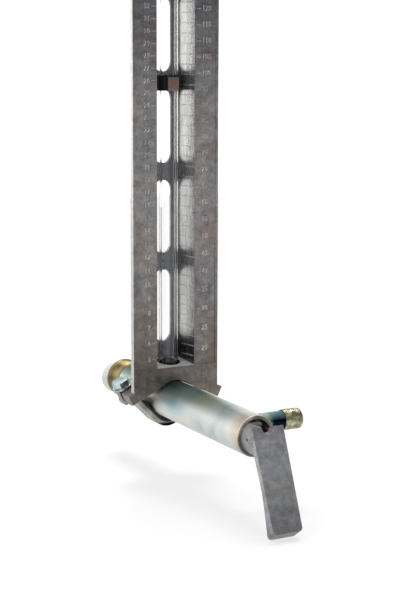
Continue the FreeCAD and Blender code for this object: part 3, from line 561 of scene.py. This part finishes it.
def numbers(name, values, heights, x, size, align):
    """Raised numbers on the face, one per scale line. Letters face -Y, and x is the side they line up on."""
    vertices, faces, count = [], [], 0
    for value, height in zip(values, heights):
        text = str(value)
        left = x if align == "left" else x - DIGIT_PITCH * len(text)
        for place, digit in enumerate(text):
            shape, polygons = DIGITS[digit]
            middle = left + DIGIT_PITCH * (place + 0.5)
            flat = np.stack([shape[:, 0] * size + middle, -shape[:, 2] * size, shape[:, 1] * size], -1)
            vertices.append(flat + [0, PANEL_Y, height - size / 2])
            faces += [[corner + count for corner in polygon] for polygon in polygons]
            count += len(shape)
    add_piece(name, make_mesh(name, np.vstack(vertices), faces), CAST_SCALE, "gauge")


# litres on the right and gallons on the left, each about half a mm off the sum, as they were cut in the die
LITRES = np.arange(20, 201, 5)
GALLONS = np.arange(5, 54)
LITRES_IN_GALLON = 3.785412
litre_z = drum_height(LITRES) + 0.6 * MM
gallon_z = drum_height(GALLONS * LITRES_IN_GALLON) - 0.5 * MM
scale_lines("litre_lines", 15.4 * MM, 18.8 * MM, litre_z)
scale_lines("gallon_lines", -18.1 * MM, -14.8 * MM, gallon_z)
numbers("litre_numbers", LITRES, litre_z + 0.4 * MM, 19.3 * MM, size=3.8 * MM, align="left")
numbers("gallon_numbers", GALLONS, gallon_z + 0.2 * MM, -18.9 * MM, size=3.5 * MM, align="right")

# third scale: evenly spaced ribs on the right-hand wall of the channel
rib_z = (29.4 + 6.75 * np.arange(73)) * MM
WALL_OUT = (-0.985, -0.172, 0)


def wall_points(depth):
    """Points on the channel's right wall, which leans in by 3.5 mm over its 20 mm of depth."""
    x = (14.0 - 3.5 * depth / 20) * MM
    return np.stack([np.full(len(rib_z), x), np.full(len(rib_z), FACE_Y + depth * MM), rib_z], -1)


ridges(
    "wall_ribs", wall_points(0.8), wall_points(14.5), WALL_OUT,
    width=0.7 * MM, height=0.5 * MM, finish=CAST_RIB_HIGHLIGHT,
)


# Threads


def thread(name, axis, radius, depth, pitch, start, end, finish):
    """A pipe thread as a closed skin: radius + depth * wave, a blunt triangle wave of (along / pitch - turn).

    The wave fades over 1.2 pitches at both ends, and the skin's inner side is a cylinder 0.8 mm further in.
    """
    per_pitch, columns, skin = 8, 72, 0.8 * MM
    rows = int((end - start) / pitch * per_pitch)
    turn = np.arange(columns) / columns
    along = np.linspace(start, end, rows)[:, None]
    phase = np.abs((along / pitch - turn) % 1.0 - 0.5) * 2
    fade = np.clip(np.minimum(along - start, end - along) / (1.2 * pitch), 0, 1)
    outer = radius + depth * np.clip(phase * 1.4 - 0.2, 0, 1) * fade
    inner = np.full((1, columns), radius - skin)
    reach = np.vstack([inner, outer, inner, inner])
    where = np.vstack([along[:1], along, along[-1:], along[:1]]) * np.ones(columns)
    first, second = np.cos(turn * TAU) * reach, np.sin(turn * TAU) * reach
    on_axis = {"y": [first, where, second], "x": [where, first + OUTLET_Y, second]}
    mesh = ring_skin(name, np.stack(on_axis[axis], -1))
    add_piece(name, mesh, finish, "gauge", sharp=60)


# 14 threads to the inch on the drum end, 18 to the inch on the outlet
thread(
    "drum_end_thread", "y", DRUM_THREAD_R, depth=0.32 * MM, pitch=1.814 * MM,
    start=-19 * MM, end=-0.1 * MM, finish=THREADED,
)
thread(
    "outlet_end_thread", "x", OUTLET_THREAD_R, depth=0.22 * MM, pitch=1.411 * MM,
    start=OUTLET_END - 13 * MM, end=OUTLET_END - 0.7 * MM, finish=OUTLET_THREADED,
)


# Weld round the outlet


def weld_bead():
    """A bead along the curve where the nipple (radius n) enters the barrel (radius R).

    At angle a the curve is (sqrt(R^2 - (n sin a)^2), n cos a, n sin a), and the bead's radius is
    0.85 mm plus ripples of 0.15 cos 22a.
    """
    nipple_r, proud, ripples = 6.7 * MM, 0.2 * MM, 22
    turn = full_turn(8 * ripples)
    first, second = np.cos(turn) * nipple_r, np.sin(turn) * nipple_r
    spine = np.stack([np.sqrt(BARREL_R**2 - second**2) + proud, OUTLET_Y + first, second], -1)
    along = np.roll(spine, -1, 0) - np.roll(spine, 1, 0)
    along /= np.linalg.norm(along, axis=1, keepdims=True)
    side = np.stack([np.zeros_like(turn), np.cos(turn), np.sin(turn)], -1)
    side -= along * np.sum(side * along, 1, keepdims=True)
    side /= np.linalg.norm(side, axis=1, keepdims=True)
    rise = np.cross(along, side)
    around = full_turn(12)[None, :, None]
    size = (0.85 + 0.15 * np.cos(ripples * turn))[:, None, None] * MM
    points = spine[:, None] + size * (np.cos(around) * side[:, None] + np.sin(around) * rise[:, None])
    loop = np.vstack([points, points[:1]])
    add_piece("weld_bead", ring_skin("weld_bead", loop), WELD, "gauge")


weld_bead()


# White nozzle in the drum end


def nozzle():
    """A skin of rings, each with its place along Y, its radius and how far its centre drops, in mm.

    They run from the plug in the barrel over the collar to the drooping rim, and back through the bore.
    """
    bend = np.linspace(0, math.pi / 2, 7)
    body = np.array([[-9.5, 10.35, 0], [0.05, 10.35, 0], [0.05, 11.6, 0], [0.6, 11.9, 0.1], [7, 11.5, 1.25]])
    rim = np.stack([13.2 + 2.6 * np.sin(bend), 8.3 + 2.6 * np.cos(bend), np.full_like(bend, 2.6)], -1)
    lip = np.stack([15.2 + 0.6 * np.cos(bend), 6.1 - 0.4 * np.sin(bend), np.full_like(bend, 1.6)], -1)
    bore = np.array([[13, 5.6, 1.2], [0, 5.5, 1.0], [-9.5, 5.5, 1.0]])
    along, radius, drop = np.vstack([body, rim, lip, bore, body[:1]]).T[:, :, None] * MM
    turn = full_turn(64)
    points = np.stack([np.cos(turn) * radius, along * np.ones_like(turn), np.sin(turn) * radius - drop], -1)
    mesh = ring_skin("drum_nozzle", points)
    add_piece("drum_nozzle", mesh, WHITE_PLASTIC, "gauge", ["inlet_bush"])


nozzle()


# Floor, light and camera


def seen_rays(tree):
    """Sockets that are 1 for the rays that show the background: the camera's and glass's, and metal's."""
    rays = node(tree, "LightPath").outputs
    through = {0: rays["Is Camera Ray"], 1: rays["Is Transmission Ray"]}
    direct = node(tree, "Math", {"operation": "MAXIMUM"}, through).outputs[0]
    return direct, rays["Is Glossy Ray"]


def pale_floor():
    """White paper floor, plain white away from the object and a little darker in the object's shadow."""
    finish, tree, surface, place = start_finish("white_paper", Base_Color=rgb("#f4f4f4"), Roughness=0.9)
    away = node(tree, "VectorMath", {"operation": "LENGTH"}, {0: place})
    glow = node(tree, "Emission", {"Color": (1, 1, 1, 1), "Strength": 1.0})
    clear = {"From Min": 0.15, "From Max": 0.6, "To Min": 0.6, "To Max": 1.0}
    white = node(tree, "MapRange", clear, {"Value": away.outputs["Value"]})
    direct, glossy = seen_rays(tree)
    seen = node(tree, "Math", {"operation": "MAXIMUM"}, {0: direct, 1: glossy})
    share = node(tree, "Math", {"operation": "MULTIPLY"}, {0: seen.outputs[0], 1: white.outputs[0]})
    mixed = node(tree, "MixShader", (), {0: share.outputs[0], 1: surface.outputs[0], 2: glow.outputs[0]})
    tree.links.new(mixed.outputs[0], tree.nodes["Material Output"].inputs["Surface"])
    return finish


def lay_floor(half, gap):
    """A flat square that reaches half each way from the middle, and lies gap under the object."""
    low = cad_box[0][2] - gap
    corners = [(-half, -half, low), (half, -half, low), (half, half, low), (-half, half, low)]
    floor = put_in_scene("floor", make_mesh("floor", corners, [[0, 1, 2, 3]]))
    floor.data.materials.append(pale_floor())


lay_floor(half=1.6, gap=0.6 * MM)


def studio_world():
    """A white wall behind the object, a pale one to its left, and a dim room in front and overhead.

    So the casting's face looks darker than the channel's walls. The camera sees plain white, and metal also
    mirrors a white card that stands low behind the object.
    """
    world = bpy.data.worlds.new("studio")
    bpy.context.scene.world = world
    world.use_nodes = True
    tree = world.node_tree
    toward = node(tree, "TexCoord").outputs["Generated"]
    parts = node(tree, "SeparateXYZ", (), {"Vector": toward})
    # the room in front, dimmer below than above
    front = {"From Min": -0.12, "From Max": 0.12, "To Min": 0.16, "To Max": 0.44}
    before = node(tree, "MapRange", front, {"Value": parts.outputs["Z"]})
    # the wall behind, which fades overhead
    over = {"From Min": 0.02, "From Max": 0.6, "To Min": 1.7, "To Max": 0.75}
    above = node(tree, "MapRange", over, {"Value": parts.outputs["Z"]})
    limits = {"Value": parts.outputs["Y"], "To Min": before.outputs[0], "To Max": above.outputs[0]}
    behind = node(tree, "MapRange", {"From Min": -0.4, "From Max": 0.5}, limits)
    # the pale wall to the left
    left = {"From Min": -0.2, "From Max": -0.9, "To Min": 0.0, "To Max": 1.3}
    beside = node(tree, "MapRange", left, {"Value": parts.outputs["X"]})
    room = node(tree, "Math", {"operation": "MAXIMUM"}, {0: behind.outputs[0], 1: beside.outputs[0]})
    # plain white for the camera and through glass, and the low card for metal
    direct, glossy = seen_rays(tree)
    backdrop = node(tree, "MapRange", {"From Min": 0.0, "From Max": 0.5}, {"Value": parts.outputs["Y"]})
    low = node(tree, "MapRange", {"From Min": 0.3, "From Max": 0.1}, {"Value": parts.outputs["Z"]})
    card = node(tree, "Math", {"operation": "MULTIPLY"}, {0: backdrop.outputs[0], 1: low.outputs[0]})
    mirrored = node(tree, "Math", {"operation": "MULTIPLY"}, {0: glossy, 1: card.outputs[0]})
    seen = node(tree, "Math", {"operation": "MAXIMUM"}, {0: direct, 1: mirrored.outputs[0]})
    level = node(tree, "Math", {"operation": "MAXIMUM"}, {0: room.outputs[0], 1: seen.outputs[0]})
    tree.links.new(level.outputs[0], tree.nodes["Background"].inputs["Strength"])
    tree.nodes["Background"].inputs["Color"].default_value = (1, 1, 1, 1)


studio_world()


def stand(made, side, up, back, place):
    """Puts an object at a place, with its X, Y and Z along side, up and back."""
    turned = np.column_stack([side, up, back, place])
    made.matrix_world = Matrix(np.vstack([turned, (0, 0, 0, 1)]).tolist())


def lamp(name, place, aim, size, power):
    """A square softbox at a place, turned towards aim."""
    light = bpy.data.lights.new(name, "AREA")
    light.size = size
    light.energy = power
    back = np.subtract(place, aim)
    back /= np.linalg.norm(back)
    side = np.cross((0, 0, 1), back)
    side /= np.linalg.norm(side)
    stand(put_in_scene(name, light), side, np.cross(back, side), back, place)


lamp("key_softbox", (0.2, 0.5, 2.3), (0, -0.1, 0.0), size=0.9, power=34)
lamp("fill_softbox", (-1.1, -0.6, 0.9), (0, -0.1, 0.1), size=0.6, power=4)


def camera_as_photographed():
    """28 degrees to the left and 9.7 degrees down, with a trace of roll, and the photograph's lens."""
    azimuth, down, roll = (math.radians(a) for a in (28.047, 9.729, 0.175))
    place = (-0.47447, -1.00753, 0.24725)
    focal_pixels, photo_height = 1573.4, 600
    level = math.cos(down)
    forward = np.array([math.sin(azimuth) * level, math.cos(azimuth) * level, -math.sin(down)])
    level_side = np.array([math.cos(azimuth), -math.sin(azimuth), 0])
    level_up = np.cross(level_side, forward)
    side = level_side * math.cos(roll) + level_up * math.sin(roll)
    lens = bpy.data.cameras.new("camera")
    lens.sensor_width = 36
    lens.lens = focal_pixels / photo_height * lens.sensor_width
    lens.clip_end = 20
    camera = put_in_scene("camera", lens)
    stand(camera, side, np.cross(side, forward), -forward, place)
    bpy.context.scene.camera = camera


camera_as_photographed()
bpy.context.scene.view_settings.view_transform = "Standard"

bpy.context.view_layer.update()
